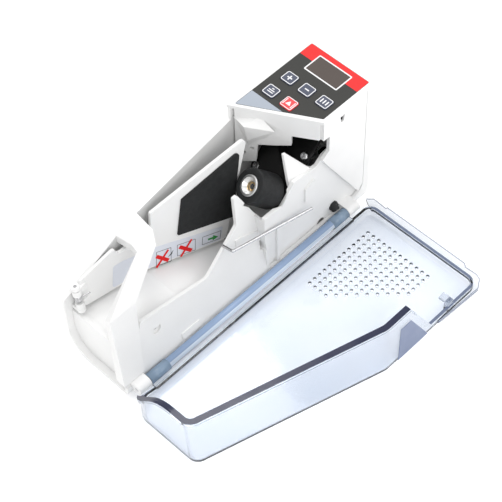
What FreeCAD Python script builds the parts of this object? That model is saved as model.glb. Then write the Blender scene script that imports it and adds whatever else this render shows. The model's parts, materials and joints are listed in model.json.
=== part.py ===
"""Portable banknote counting machine with a clear hinged cover, as an assembly of separate pieces.

Millimetres, +Z up. The machine stands on its flat underside at z = 0. X runs along the hinge towards
the display end, and the cover opens towards -Y. Pieces are drawn from the case's lower front left
corner, and every shape is moved at the end so that the origin is the middle of the underside.
The cover is drawn open, lying flat on the table.
"""

import FreeCAD
import Part

import math
import os

V = FreeCAD.Vector

# Driving sizes of the case
CASE_LEFT = 1.5
CASE_RIGHT = 229.0
CASE_DEPTH = 60.0
CASE_HEIGHT = 112.0
FRONT_Y = 4.6
WALL = 2.5
GAP = 0.15
BACK_BOTTOM_RADIUS = 22.0
ROOF_RIGHT = 227.2
CASE_SCREWS = ((13.0, 12.0), (13.0, 34.0), (134.0, 18.0), (210.0, 16.0), (210.0, 36.0))
SCREW_SINK = 1.6
ORIGIN = V(113.0, 30.0, 0.0)

# Seam between the front chassis and the rear shell
SEAM_X = 222.0
SEAM_Z = 8.0
SEAM_RADIUS = 10.0
SEAM_GAP = 0.4

# Cover and hinge
HINGE_Z = 8.0
PIN_RADIUS = 1.5
BARREL_RADIUS = 4.0
HINGE_CLEARANCE = 0.05
BARRELS = ((5.0, 15.0), (200.0, 210.0))
KNUCKLES = ((15.3, 32.0), (185.0, 199.7))
LEDGE = (5.2, 7.2)
LIP_INNER_RADIUS = 2.4
COVER_WALL = 2.0
COVER_RIM = 8.0
COVER_LEFT = -5.0
COVER_RIGHT = 217.3
COVER_OUTER_Y = -102.0
COVER_HINGE_Y = -6.5
SLANT_START_Y = -63.0
SLANT_END_X = 127.0
POCKET_HEIGHT = 46.0
POCKET_DRAFT = 3.0
BAND_PROUD = 1.0
BAND_WIDTH = 4.2
BAND_HEIGHT = 2.5
BAND_END_X = 154.0
FLANGE = (4.0, 6.0)
VENT_X = 201.2
VENT_Y = -19.5
VENT_PITCH = 4.8
VENT_RADIUS = 1.25
VENT_COLUMNS = 13
VENT_ROWS = 12

# Guide wire across the front
WIRE_RADIUS = 1.0
WIRE_TAIL = 9.0
WIRE_START = V(101.0, 8.2, 52.8)
WIRE_END = V(169.0, 2.9, 38.6)

# Leaning front wall of the note hopper: y at the seam and its lean
FRONT_LEAN = 0.25

# Pressing plate: its front face is y = PLATE_Y + PLATE_DX * (x - 58) + PLATE_DZ * (z - 29)
PLATE_Y = 43.8
PLATE_DX = -0.155
PLATE_DZ = 0.143
PLATE_THICK = 2.2
PAD_THICK = 1.0
PLATE_PIVOT = (V(9.6, 54.6, 62.0), V(9.6, 51.6, 41.0))
PIVOT_RADIUS = 1.2

# Feed roller and its drive: the axis runs parallel to the pressing plate, down to the right
ROLLER_FACE = V(134.0, 25.0, 75.0)
ROLLER_AXIS = V(0.677, -0.229, -0.700)
ROLLER_RADIUS = 12.0
ROLLER_LENGTH = 21.0
SPINDLE_RADIUS = 2.0
MOTOR_OFFSET = (20.0, 20.0)
MOTOR_RADIUS = 12.0
MOTOR_LENGTH = 26.0
BELT_START = 24.0
BELT_WIDTH = 4.0
BELT_THICK = 1.2
ROLLER_PULLEY_RADIUS = 7.0
MOTOR_PULLEY_RADIUS = 3.5
DRIVE_PLATE_START = 31.0
DRIVE_PLATE_THICK = 2.5
DRIVE_SCREWS = ((30.0, -1.2), (41.0, 12.0), (4.0, 29.5))
HUB_RADIUS = 5.6
HUB_COLLAR = 1.6
HUB_CUP_RADIUS = 3.5
HUB_CUP_DEPTH = 5.0
HUB_FLARE = 2.6
NUT_RADIUS = 3.3
NUT_THICK = 1.6

# Control head
HEAD_LEFT_BACK = 150.0
HEAD_LEFT_FRONT = 181.0
HEAD_TOP = 2.5
HEAD_UNDERSIDE = CASE_HEIGHT - HEAD_TOP
OVERLAY_THICK = 0.5
KEY_SIZE = (9.0, 9.6)
KEY_TRAVEL = 0.6
KEY_PROUD = 0.9
BOARD_TOP = 102.0
BOARD_THICK = 1.6
BOARD_POSTS = ((217.0, 51.0), (217.0, 15.0), (186.0, 38.5))
SWITCH_TOP = BOARD_TOP + 4.3
DISPLAY = (207.0, 221.0, 18.5, 45.0)

# Batteries: four of the common AA size
CELL_RADIUS = 7.2
CELL_LENGTH = 50.5
CELL_Z = 10.6
CELL_X = (20.0, 71.6)
CELL_Y = (18.9, 34.1)
DOOR = (24.0, 108.0, 11.8, 41.2)
DOOR_GAP = 0.3

# Power socket in the right end
JACK_Y = 40.0
JACK_Z = 14.0
JACK_RADIUS = 4.0

KEYS = {
    "key_plus": (193.5, 46.0),
    "key_minus": (193.5, 31.0),
    "key_batch": (193.5, 16.0),
    "key_add": (177.5, 47.0),
    "key_start": (177.5, 31.5),
}


# Drawing helpers

def box(x0, x1, y0, y1, z0, z1):
    return Part.makeBox(x1 - x0, y1 - y0, z1 - z0, V(x0, y0, z0))


def rod(start, end, radius):
    axis = end.sub(start)
    return Part.makeCylinder(radius, axis.Length, start, axis)


def rounded_wire(corners):
    """Closed wire through (point, radius) corners, each corner rounded by its own radius."""
    edges = []
    ends = []
    count = len(corners)
    for i in range(count):
        point, radius = corners[i]
        before = corners[i - 1][0].sub(point)
        after = corners[(i + 1) % count][0].sub(point)
        if radius <= 0:
            ends.append((point, point))
            continue
        half = before.getAngle(after) / 2
        reach = radius / math.tan(half)
        before.normalize()
        after.normalize()
        first = point.add(before * reach)
        last = point.add(after * reach)
        middle = before.add(after)
        middle.normalize()
        crown = point.add(middle * (radius / math.sin(half) - radius))
        edges.append((i, Part.Arc(first, crown, last).toShape()))
        ends.append((first, last))
    arcs = dict(edges)
    loop = []
    for i in range(count):
        if i in arcs:
            loop.append(arcs[i])
        leave = ends[i][1]
        arrive = ends[(i + 1) % count][0]
        if leave.distanceToPoint(arrive) > 1e-6:
            loop.append(Part.LineSegment(leave, arrive).toShape())
    return Part.Wire(loop)


def prism(corners, direction):
    """Solid swept from a closed outline of points, or of (point, radius) corners."""
    pairs = [corner if isinstance(corner, tuple) else (corner, 0) for corner in corners]
    return Part.Face(rounded_wire(pairs)).extrude(direction)


def prism_xy(points, z0, z1):
    corners = [(V(p[0], p[1], z0), p[2] if len(p) > 2 else 0) for p in points]
    return prism(corners, V(0, 0, z1 - z0))


def prism_xz(points, y0, y1):
    corners = [(V(p[0], y0, p[1]), p[2] if len(p) > 2 else 0) for p in points]
    return prism(corners, V(0, y1 - y0, 0))


def prism_yz(points, x0, x1):
    corners = [(V(x0, p[0], p[1]), p[2] if len(p) > 2 else 0) for p in points]
    return prism(corners, V(x1 - x0, 0, 0))


def flat_solid(outlines):
    """Solid closed by flat faces, each given as its outline's points."""
    faces = [Part.Face(Part.makePolygon(list(points) + [points[0]])) for points in outlines]
    shell = Part.makeShell(faces)
    shell.sewShape()
    solid = Part.Solid(shell)
    if solid.Volume < 0:
        solid.reverse()
    return solid


def faceted_bar(sections):
    """Flat-sided solid through sections that each have the same number of points."""
    count = len(sections[0])
    outlines = [sections[0], sections[-1]]
    for lower, upper in zip(sections, sections[1:]):
        for i in range(count):
            j = (i + 1) % count
            outlines.append((lower[i], lower[j], upper[j]))
            outlines.append((lower[i], upper[j], upper[i]))
    return flat_solid(outlines)


def single(shape):
    """The shape's one solid, without the compound round it, or the shape itself if it has several."""
    return shape.Solids[0] if len(shape.Solids) == 1 else shape


def fused(first, *others):
    result = first
    for other in others:
        result = single(result.fuse(other))
    return result


def pan_screw(at, inward, head_radius, shank_radius, shank):
    """Cross-head screw whose head stands on the point `at` and whose shank runs inward."""
    out = inward * -1
    head_height = head_radius * 0.6
    head = Part.makeCylinder(head_radius, head_height, at, out)
    edges = [e for e in head.Edges if abs(e.CenterOfMass.sub(at).dot(out) - head_height) < 1e-3]
    head = head.makeFillet(head_height * 0.5, edges)
    stem = Part.makeCylinder(shank_radius, shank, at, inward)
    width = head_radius * 0.3
    length = head_radius * 1.3
    slot_a = Part.makeBox(length, width, head_height, V(-length / 2, -width / 2, 0))
    slot_b = Part.makeBox(width, length, head_height, V(-width / 2, -length / 2, 0))
    cross = slot_a.fuse(slot_b)
    turn = FreeCAD.Rotation(V(0, 0, 1), out)
    cross.Placement = FreeCAD.Placement(at.add(out * (head_height * 0.45)), turn)
    return single(head.fuse(stem).cut(cross))


# Frames of the tilted parts

def unit(vector):
    copy = V(vector)
    copy.normalize()
    return copy


PLATE_NORMAL = unit(V(-PLATE_DX, 1.0, -PLATE_DZ))
AXIS = unit(ROLLER_AXIS)
DRIVE_U = unit(AXIS.cross(PLATE_NORMAL))
DRIVE_N = unit(DRIVE_U.cross(AXIS))


def on_plate(x, z, depth=0.0):
    """Point of the pressing plate's front face, or that deep behind it."""
    y = PLATE_Y + PLATE_DX * (x - 58.0) + PLATE_DZ * (z - 29.0)
    return V(x, y, z).add(PLATE_NORMAL * depth)


def on_front(x, z, depth=0.0):
    """Point of the hopper's leaning front wall, or that deep behind its outer face."""
    normal = unit(V(0, 1, -FRONT_LEAN))
    return V(x, FRONT_Y + FRONT_LEAN * (z - SEAM_Z), z).add(normal * depth)


def on_head(y, z, depth=0.0):
    """Point of the control head's slanted left wall, or that deep inside it."""
    along = (CASE_DEPTH - y) / (CASE_DEPTH - FRONT_Y)
    x = HEAD_LEFT_BACK + (HEAD_LEFT_FRONT - HEAD_LEFT_BACK) * along
    return V(x, y, z).add(HEAD_NORMAL * depth)


HEAD_NORMAL = unit(V(CASE_DEPTH - FRONT_Y, HEAD_LEFT_FRONT - HEAD_LEFT_BACK, 0))


def in_drive(along, u=0.0, n=0.0):
    """Point in the drive's frame: along the roller's axis from its hub face, up (u) and back (n)."""
    return ROLLER_FACE.add(AXIS * along).add(DRIVE_U * u).add(DRIVE_N * n)


def drive_prism(points, start, length):
    corners = [(in_drive(start, p[0], p[1]), p[2] if len(p) > 2 else 0) for p in points]
    return prism(corners, AXIS * length)


def belt_outline(grow, start, length):
    """Solid under a belt line that wraps both pulleys, grown outwards."""
    big = ROLLER_PULLEY_RADIUS + grow
    small = MOTOR_PULLEY_RADIUS + grow
    u, n = MOTOR_OFFSET
    span = math.hypot(u, n)
    heading = math.atan2(n, u)
    tilt = math.acos((big - small) / span)
    points = []
    for side in (1, -1):
        angle = heading + side * tilt
        spread = (math.cos(angle), math.sin(angle))
        points.append((big * spread[0], big * spread[1]))
        points.append((u + small * spread[0], n + small * spread[1]))
    band = drive_prism([points[0], points[1], points[3], points[2]], start, length)
    wheel = Part.makeCylinder(big, length, in_drive(start), AXIS)
    pinion = Part.makeCylinder(small, length, in_drive(start, u, n), AXIS)
    return fused(band, wheel, pinion)


# Case

def case_profile(inset):
    """Side outline of the case as YZ corners, with its large rounded lower back corner."""
    front = FRONT_Y + inset
    back = CASE_DEPTH - inset
    top = CASE_HEIGHT - inset
    soft = 3.0 - inset / 2
    return [
        (front, inset, soft),
        (back, inset, BACK_BOTTOM_RADIUS - inset),
        (back, top, soft),
        (front, top, soft),
    ]


def back_edge():
    """Region above the rear shell's sloping back edge, as XZ points."""
    return [
        (CASE_LEFT - 20, 46), (CASE_LEFT, 52), (13, 57), (48, 74), (66, 81), (151, 99),
        (151, CASE_HEIGHT + 5), (CASE_LEFT - 20, CASE_HEIGHT + 5),
    ]


def jack_point(outward):
    """Point on the power socket's axis, that far outside the case's right end."""
    return V(CASE_RIGHT + outward, JACK_Y, JACK_Z)


def rear_shell():
    outer = prism_yz(case_profile(0), CASE_LEFT, CASE_RIGHT)
    right_rim = []
    for edge in outer.Edges:
        span = edge.BoundBox
        if abs(span.XMin - CASE_RIGHT) < 1e-3 and span.XLength < 1e-3:
            right_rim.append(edge)
    outer = outer.makeFillet(2.0, right_rim)
    hollow = prism_yz(case_profile(WALL), CASE_LEFT - 1, CASE_RIGHT - WALL)
    shell = outer.cut(hollow)
    front = prism_xz([
        (CASE_LEFT - 5, SEAM_Z), (SEAM_X, SEAM_Z, SEAM_RADIUS),
        (SEAM_X, CASE_HEIGHT + 5), (CASE_LEFT - 5, CASE_HEIGHT + 5),
    ], -5, 20)
    slope = prism_xz(back_edge(), -5, CASE_DEPTH + 5)
    roof = box(CASE_LEFT - 1, ROOF_RIGHT + GAP, -1, CASE_DEPTH + 1, HEAD_UNDERSIDE - GAP, CASE_HEIGHT + 1)
    x0, x1, y0, y1 = DOOR
    door = box(x0 - DOOR_GAP, x1 + DOOR_GAP, y0 - DOOR_GAP, y1 + DOOR_GAP, -1, WALL + 3)
    shell = shell.cut([front, slope, roof, door])
    jack = rod(jack_point(-5), jack_point(5), JACK_RADIUS + 0.2)
    posts = []
    for x, y in CASE_SCREWS:
        shell = shell.cut(rod(V(x, y, -1), V(x, y, SCREW_SINK), 3.0))
        shell = shell.cut(rod(V(x, y, -1), V(x, y, WALL + 1), 1.4))
        post = rod(V(x, y, WALL - 0.1), V(x, y, 8), 3.4)
        posts.append(post.cut(rod(V(x, y, 0), V(x, y, 9), 1.4)))
    return fused(shell.cut(jack), *posts)


def hopper_floor():
    """Sloping tray under the note hopper."""
    line = [(6.5, 38), (12, 37), (60, 37), (120, 22.5), (120, 20), (60, 34.5), (9, 34.5), (6.5, 34.5)]
    floor = prism_xz(line, 8, CASE_DEPTH - WALL - GAP)
    behind_wall = prism([on_front(0, 5), on_front(0, 60), V(0, -20, 60), V(0, -20, 5)], V(140, 0, 0))
    return floor.cut(behind_wall)


def chassis_end_wall():
    """Left end wall that closes the shell below the hopper."""
    plate = prism_yz(case_profile(WALL + GAP), 6.5, 9.0)
    plate = plate.common(box(0, 20, 0, CASE_DEPTH, WALL + GAP, 38))
    before_bar = prism_yz([(0, 12.4), (11, 12.4), (24, 58), (0, 58)], 0, 20)
    return plate.cut([box(0, 20, 0, FRONT_Y + 4, 0, SEAM_Z + GAP), before_bar])


def on_wall(points, proud):
    """Plate standing that far proud of the leaning front wall, and a little sunk into it."""
    corners = [(on_front(p[0], p[1], -proud), p[2] if len(p) > 2 else 0) for p in points]
    return prism(corners, unit(V(0, 1, -FRONT_LEAN)) * (proud + 0.5))


def hopper_front():
    """Leaning front wall with the guard that rises to the feed roller."""
    outline = [
        (6.5, SEAM_Z + GAP), (9, 18), (25.6, 47, 2), (81.5, 39, 6), (114, 59, 4), (117, 79, 1.2),
        (120.5, 79, 1.2), (131, 55), (131, SEAM_Z + GAP),
    ]
    corners = [(on_front(p[0], p[1]), p[2] if len(p) > 2 else 0) for p in outline]
    wall = prism(corners, unit(V(0, 1, -FRONT_LEAN)) * WALL)
    wall = wall.cut(box(0, 140, 0, 20, 0, SEAM_Z + GAP))
    x, z = 35.0, 33.3
    recess = rod(on_front(x, z, -2), on_front(x, z, 1.6), 3.6)
    hole = rod(on_front(x, z, -2), on_front(x, z, 6), 1.3)
    tab = on_wall([(51, 10), (67, 10), (67, 15), (51, 15)], 0.8)
    return fused(wall.cut([recess, hole]), tab)


def front_panel():
    """Upright front wall right of the hopper: a set-back lower field and a flush upper right field."""
    inner = FRONT_Y + WALL
    lower = prism_xz([
        (129, SEAM_Z + GAP), (SEAM_X - SEAM_GAP, SEAM_Z + SEAM_GAP, SEAM_RADIUS), (SEAM_X - SEAM_GAP, 84),
        (184, 76), (178, 71), (156, 73), (146, 60), (129, 60),
    ], inner, inner + WALL)
    flush = prism_xz([
        (HEAD_LEFT_FRONT, HEAD_UNDERSIDE - GAP), (HEAD_LEFT_FRONT, 94.5), (186.6, 94.5, 1),
        (186.6, 80.4, 1), (180.5, 76), (184, 69), (217.5, 11.5), (SEAM_X - SEAM_GAP, 17),
        (SEAM_X - SEAM_GAP, HEAD_UNDERSIDE - GAP),
    ], FRONT_Y, inner + 0.01)
    behind = prism_xz([
        (190, 68), (216, 23), (SEAM_X, 23), (SEAM_X, CASE_HEIGHT), (190, CASE_HEIGHT),
    ], inner, inner + WALL + 1)
    latch = prism_xz([(196.4, 104.5), (200.5, 104.5), (199.6, 99.2), (197.2, 99.2)], FRONT_Y - 1, inner + 1)
    side = prism_yz([
        (FRONT_Y + 0.4, SEAM_Z + GAP), (inner + 1, SEAM_Z + GAP), (inner + 11, 56), (inner, 56), (inner, 44),
    ], 129, 131)
    rib = prism_xz([(139, SEAM_Z + GAP), (141, SEAM_Z + GAP), (141, 42), (139, 43)], FRONT_Y + 0.8, inner + 1)
    return fused(lower.cut(behind), flush.cut(latch), side, rib)


def guide_horn():
    """Pointed guide that leans back over the drive and turns the notes off the roller."""
    base = [V(154, 8, 66), V(180, 7.2, 66), V(180, 9.4, 66), V(154, 10.5, 66)]
    waist = [V(155, 11, 74), V(172, 8.6, 73), V(172, 11, 73), V(155, 13.5, 74)]
    tip = [V(158.6, 18.5, 89), V(160.6, 18, 89), V(160.6, 19.8, 89), V(158.6, 20.3, 89)]
    return faceted_bar([base, waist, tip])


def panel_details():
    """Raised pads on the front wall, beside the guide wire's run and under its free end."""
    inner = FRONT_Y + WALL
    left = on_wall([(109.7, 49.5), (112.2, 49.8), (130.8, 43.1), (130.5, 39.0), (109.0, 44.3)], 1.0)
    right_outline = [(166, 44, 1.5), (175, 44, 1.5), (175, 62, 1.5), (166, 58, 1.5)]
    return [left, prism_xz(right_outline, inner - 1.4, inner + 0.5)]


def front_chassis():
    walls = [chassis_end_wall(), hopper_front(), front_panel(), guide_horn()]
    body = fused(hopper_floor(), *walls, *panel_details())
    for x0, x1 in BARRELS:
        barrel = rod(V(x0, 0, HINGE_Z), V(x1, 0, HINGE_Z), BARREL_RADIUS)
        web = box(x0, x1, 0, FRONT_Y + WALL + 1, HINGE_Z + GAP, HINGE_Z + BARREL_RADIUS)
        body = fused(body, barrel, web)
    bores = [rod(V(x0 - 1, 0, HINGE_Z), V(x1 + 1, 0, HINGE_Z), PIN_RADIUS) for x0, x1 in BARRELS]
    notch = Part.makeCylinder(ROLLER_RADIUS + 1.5, ROLLER_LENGTH + 4, in_drive(-2), AXIS)
    slot = prism_xz([(127, 27, 1.2), (130, 27, 1.2), (129.2, 35, 0.3), (128, 35, 0.3)], 0, 20)
    vent = rod(V(182.5, BARREL_RADIUS + 0.4, HINGE_Z), V(182.5, 12, HINGE_Z), 3.4)
    socket = rod(wire_point(0, 3), wire_point(0, -12), WIRE_RADIUS)
    return single(body.cut(bores + [notch, slot, vent, socket, bridge_bar(0.3)]))


def bridge_bar(grow=0.0):
    """Strap that spans the hopper: a post, a leaning arm and a top strap to the back wall."""
    back = CASE_DEPTH - WALL - GAP
    sections = [
        [V(-0.5, 4.3, 12.4), V(16.5, 4.3, 12.4), V(16.5, 12, 12.4), V(-0.5, 12, 12.4)],
        [V(5.5, 18.5, 63), V(27, 18.5, 62), V(27, 25, 57), V(7, 25, 58)],
        [V(47, 36.5, 79), V(57, 30, 81.5), V(57, 33, 74), V(47, 38, 72)],
        [V(48, 42, 79.5), V(64, 40, 82), V(64, 40, 76), V(48, 42, 73)],
        [V(48, back, 75.5), V(66, back, 82), V(66, back, 75.5), V(48, back, 69)],
    ]
    grown = []
    for section in sections:
        centre = section[0].add(section[1]).add(section[2]).add(section[3]) * 0.25
        grown.append([point.add(unit(point.sub(centre)) * grow) for point in section])
    return faceted_bar(grown)


# Control head

def head_outline(inset):
    side = inset / math.cos(math.atan2(HEAD_LEFT_FRONT - HEAD_LEFT_BACK, CASE_DEPTH - FRONT_Y))
    slope = (HEAD_LEFT_FRONT - HEAD_LEFT_BACK) / (CASE_DEPTH - FRONT_Y)
    return [
        (HEAD_LEFT_BACK + side + inset * slope, CASE_DEPTH - inset), (ROOF_RIGHT - inset, CASE_DEPTH - inset),
        (ROOF_RIGHT - inset, FRONT_Y + inset), (HEAD_LEFT_FRONT + side - inset * slope, FRONT_Y + inset),
    ]


def overlay_outline(inset):
    return [
        (154 + inset * 1.4, 57 - inset, 1.0), (226 - inset, 57 - inset, 1.0),
        (226 - inset, 7 + inset, 1.0), (183 + inset * 0.6, 7 + inset, 1.0),
    ]


def key_well(name, grow, z0, z1):
    x, y = KEYS[name]
    half_x = KEY_SIZE[0] / 2 + grow
    half_y = KEY_SIZE[1] / 2 + grow
    corners = [(x - half_x, y - half_y, 1.3), (x + half_x, y - half_y, 1.3),
               (x + half_x, y + half_y, 1.3), (x - half_x, y + half_y, 1.3)]
    return prism_xy(corners, z0, z1)


def deflector():
    """Faceted block on the head's left wall that keeps the notes against the roller."""
    back = on_head(56.6, 100.9, 1)
    top = on_head(41.1, 105.5, 1)
    front = on_head(39.5, 83.2, 1)
    foot = on_head(48.3, 73.7, 1)
    crest = V(151.2, 46.0, 100.6)
    nose = V(163.1, 30.5, 98.1)
    chin = V(154.3, 46.2, 84.9)
    return flat_solid([
        (back, top, front, foot), (back, crest, top), (crest, nose, top), (top, nose, front),
        (nose, chin, front), (front, chin, foot), (crest, chin, nose), (back, chin, crest),
        (back, foot, chin),
    ])


def control_housing():
    """Top moulding of the display end, with its slanted left wall and the faceted note deflector."""
    top = prism_xy(head_outline(0), HEAD_UNDERSIDE, CASE_HEIGHT)
    wall_outline = [
        (FRONT_Y, HEAD_UNDERSIDE + 0.5), (FRONT_Y, 94.5), (23, 93.5), (23, 84.4), (33, 81.2), (42.5, 79),
        (43.5, 62), (55.6, 58), (55.6, HEAD_UNDERSIDE + 0.5),
    ]
    wall = prism([on_head(y, z) for y, z in wall_outline], HEAD_NORMAL * WALL)
    inside = box(0, CASE_RIGHT, FRONT_Y + WALL + GAP, CASE_DEPTH - WALL - GAP, 0, HEAD_UNDERSIDE)
    corner = box(0, CASE_RIGHT, 0, CASE_DEPTH - WALL - GAP, HEAD_UNDERSIDE - 0.01, CASE_HEIGHT)
    wall = wall.common(inside.fuse(corner))
    big = rod(on_head(52, 68.5, -3), on_head(52, 68.5, 6), 2.8)
    small = rod(on_head(46, 74, -3), on_head(46, 74, 6), 1.6)
    housing = fused(top, wall.cut([big, small]), deflector())
    recess = prism_xy(overlay_outline(0), CASE_HEIGHT - OVERLAY_THICK, CASE_HEIGHT + 1)
    wells = [key_well(name, 0.35, HEAD_UNDERSIDE - 1, CASE_HEIGHT + 1) for name in KEYS]
    x0, x1, y0, y1 = DISPLAY
    screen = box(x0, x1, y0, y1, HEAD_UNDERSIDE - 1, CASE_HEIGHT + 1)
    return housing.cut([recess, screen] + wells)


def keypad_overlay():
    sheet = prism_xy(overlay_outline(0.15), CASE_HEIGHT - OVERLAY_THICK, CASE_HEIGHT)
    x0, x1, y0, y1 = DISPLAY
    screen = box(x0, x1, y0, y1, 0, CASE_HEIGHT + 1)
    return sheet.cut([screen] + [key_well(name, 0.2, 0, CASE_HEIGHT + 1) for name in KEYS])


def key(name):
    x, y = KEYS[name]
    top = CASE_HEIGHT + KEY_PROUD
    cap = key_well(name, 0, HEAD_UNDERSIDE + 0.2, top)
    rim = [e for e in cap.Edges if abs(e.BoundBox.ZMin - top) < 1e-3 and e.BoundBox.ZLength < 1e-3]
    cap = cap.makeFillet(0.4, rim)
    stem = rod(V(x, y, SWITCH_TOP + KEY_TRAVEL + 0.1), V(x, y, CASE_HEIGHT - 1), 1.6)
    return fused(cap, stem)


def display_window():
    x0, x1, y0, y1 = DISPLAY
    return box(x0 + 0.1, x1 - 0.1, y0 + 0.1, y1 - 0.1, CASE_HEIGHT - 1.7, CASE_HEIGHT - 0.1)


def led_display():
    x0, x1, y0, y1 = DISPLAY
    return box(x0 + 1, x1 - 1, y0 + 1, y1 - 1, BOARD_TOP, CASE_HEIGHT - 2)


def main_board():
    board = prism_xy([(183, 12), (220, 12), (220, 54), (166, 54)], BOARD_TOP - BOARD_THICK, BOARD_TOP)
    holes = [rod(V(x, y, BOARD_TOP - 3), V(x, y, BOARD_TOP + 1), 1.5) for x, y in BOARD_POSTS]
    return board.cut(holes)


def board_posts():
    """Posts that hang from the head's roof and carry the main board."""
    return [rod(V(x, y, BOARD_TOP), V(x, y, HEAD_UNDERSIDE + 0.5), 2.6) for x, y in BOARD_POSTS]


def housing_with_posts():
    posts = board_posts()
    holes = [rod(V(x, y, BOARD_TOP - 1), V(x, y, BOARD_TOP + 5), 1.0) for x, y in BOARD_POSTS]
    return fused(control_housing(), *posts).cut(holes)


def board_screws():
    up = V(0, 0, 1)
    under = BOARD_TOP - BOARD_THICK
    return Part.makeCompound([pan_screw(V(x, y, under), up, 2.2, 0.98, 5.5) for x, y in BOARD_POSTS])


def tact_switches():
    bodies = []
    for x, y in KEYS.values():
        base = box(x - 3, x + 3, y - 3, y + 3, BOARD_TOP, BOARD_TOP + 3.5)
        bodies.append(fused(base, rod(V(x, y, BOARD_TOP + 3), V(x, y, SWITCH_TOP), 1.7)))
    return Part.makeCompound(bodies)


# Cover

def cover_outline(z, inset, left_grow=0.0):
    """Plan of the cover at one height, that far inside its outer face, drafted on its outer sides."""
    shift = POCKET_DRAFT * z / POCKET_HEIGHT + inset
    left = COVER_LEFT + inset - left_grow
    outer = COVER_OUTER_Y + shift
    right = COVER_RIGHT - inset
    hinge_side = COVER_HINGE_Y - inset
    slope = (SLANT_START_Y - COVER_OUTER_Y) / (SLANT_END_X - COVER_LEFT)
    start_y = SLANT_START_Y - slope * (left - COVER_LEFT) + shift * math.hypot(1, slope)
    end_x = left + (start_y - outer) / slope
    corners = [
        (left, hinge_side, 13 - inset), (left, start_y, 8 - inset), (end_x, outer, 14),
        (right, outer, 8 - inset), (right, hinge_side, 7 - inset),
    ]
    return rounded_wire([(V(c[0], c[1], z), c[2]) for c in corners])


def cover_block(low, high, inset, left_grow=0.0):
    """Solid inside the cover's plan between two heights."""
    ends = [cover_outline(low, inset, left_grow), cover_outline(high, inset, left_grow)]
    return Part.makeLoft(ends, True, True)


def cover_rim(drop=0.0):
    """Everything of the cover's height that stays: a low rim, and the deep pocket round the left."""
    low = box(-20, 240, -120, 10, -1 - drop, COVER_RIM - drop)
    side = prism_yz([
        (-120, -1), (-120, POCKET_HEIGHT), (-34, POCKET_HEIGHT, 26), (-4, 14, 8), (0, 8), (0, -1),
    ], -20, 240)
    length = prism_xz([(-20, -1), (-20, 60), (142.5, 60), (148.6, 46, 3), (171, 6, 3), (174, -1)], -120, 10)
    corner = prism_xz([(-3.4, 40), (-1.2, 12.2), (14, 8), (240, 8), (240, 60), (-3.4, 60)], -15, 10)
    tall = side.common(length).cut(corner)
    tall.translate(V(0, 0, -drop))
    return low.fuse(tall)


def cover_band():
    """Thick band along the pocket's top edge, from the hinge round to the slope on the right."""
    outer = cover_block(0, POCKET_HEIGHT, -BAND_PROUD, 1.0)
    inner = cover_block(-1, POCKET_HEIGHT + 1, BAND_WIDTH - BAND_PROUD, 1.0)
    layer = cover_rim().cut(cover_rim(BAND_HEIGHT))
    layer = layer.common(box(-20, BAND_END_X, -120, COVER_HINGE_Y, COVER_RIM + 1.5, 60))
    return outer.cut(inner).common(layer)


def cover_flange(inside):
    """Step round the tray's outside, low on its right and outer walls."""
    plan = [
        (216.4, -6.6), (219.6, -0.9), (223.3, -4.9, 1), (222.8, -16.3), (224, -16.3), (224, -84.9),
        (221.9, -87.5), (222.5, -98, 6), (214, -104.7, 3), (176.2, -102.8, 1), (176.2, -95), (205, -90),
    ]
    return prism_xy(plan, *FLANGE).cut(inside)


def hinge_lip():
    """Curled edge over the hinge line, open underneath, with the ledge that joins it to the tray."""
    left, right = KNUCKLES[0][1], KNUCKLES[1][0]
    tube = rod(V(left, 0, HINGE_Z), V(right, 0, HINGE_Z), BARREL_RADIUS)
    tube = tube.cut(rod(V(left, 0, HINGE_Z), V(right, 0, HINGE_Z), LIP_INNER_RADIUS))
    fan = [(0, HINGE_Z)]
    for angle in (60, 95, 150, 205):
        turn = math.radians(angle)
        fan.append((2 * BARREL_RADIUS * math.cos(turn), HINGE_Z + 2 * BARREL_RADIUS * math.sin(turn)))
    curl = tube.common(prism_yz(fan, left, right))
    ledge = box(KNUCKLES[0][0], KNUCKLES[1][1], COVER_HINGE_Y - 0.5, -LIP_INNER_RADIUS - 0.4, *LEDGE)
    return fused(ledge, curl)


def cover_hooks():
    """Latch hook on the outer rim."""
    return [prism_xy([(188, -100.5), (193, -100.5), (193, -97), (188, -97)], 1, 11.5),
            prism_xy([(188, -98), (193, -98), (193, -92.4), (188, -92.4)], 9.5, 11.5)]


def cover():
    outer = cover_block(0, POCKET_HEIGHT, 0)
    base = [e for e in outer.Edges if e.BoundBox.ZMax < 1e-3]
    outer = outer.makeFillet(3.5, base)
    inner = cover_block(COVER_WALL, POCKET_HEIGHT + 1, COVER_WALL)
    base = [e for e in inner.Edges if e.BoundBox.ZMax < COVER_WALL + 1e-3]
    inner = inner.makeFillet(2.0, base)
    tray = outer.cut(inner).common(cover_rim())
    body = fused(tray, cover_band(), cover_flange(inner), hinge_lip(), *cover_hooks())
    for x0, x1 in KNUCKLES:
        body = fused(body, rod(V(x0, 0, HINGE_Z), V(x1, 0, HINGE_Z), BARREL_RADIUS))
    cuts = []
    for x0, x1 in KNUCKLES:
        cuts.append(rod(V(x0 - 1, 0, HINGE_Z), V(x1 + 1, 0, HINGE_Z), PIN_RADIUS + HINGE_CLEARANCE))
    vents = []
    for column in range(VENT_COLUMNS):
        for row in range(min(VENT_ROWS, 4 + column)):
            centre = V(VENT_X - VENT_PITCH * (VENT_COLUMNS - 1 - column), VENT_Y - VENT_PITCH * row, -1)
            vents.append(Part.makeCylinder(VENT_RADIUS, COVER_WALL + 3, centre, V(0, 0, 1)))
    return body.cut(cuts).cut(Part.makeCompound(vents))


def hinge_pins():
    left = rod(V(BARRELS[0][0], 0, HINGE_Z), V(KNUCKLES[0][1] - 1, 0, HINGE_Z), PIN_RADIUS)
    right = rod(V(KNUCKLES[1][0] + 1, 0, HINGE_Z), V(BARRELS[1][1], 0, HINGE_Z), PIN_RADIUS)
    return Part.makeCompound([left, right])


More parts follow.
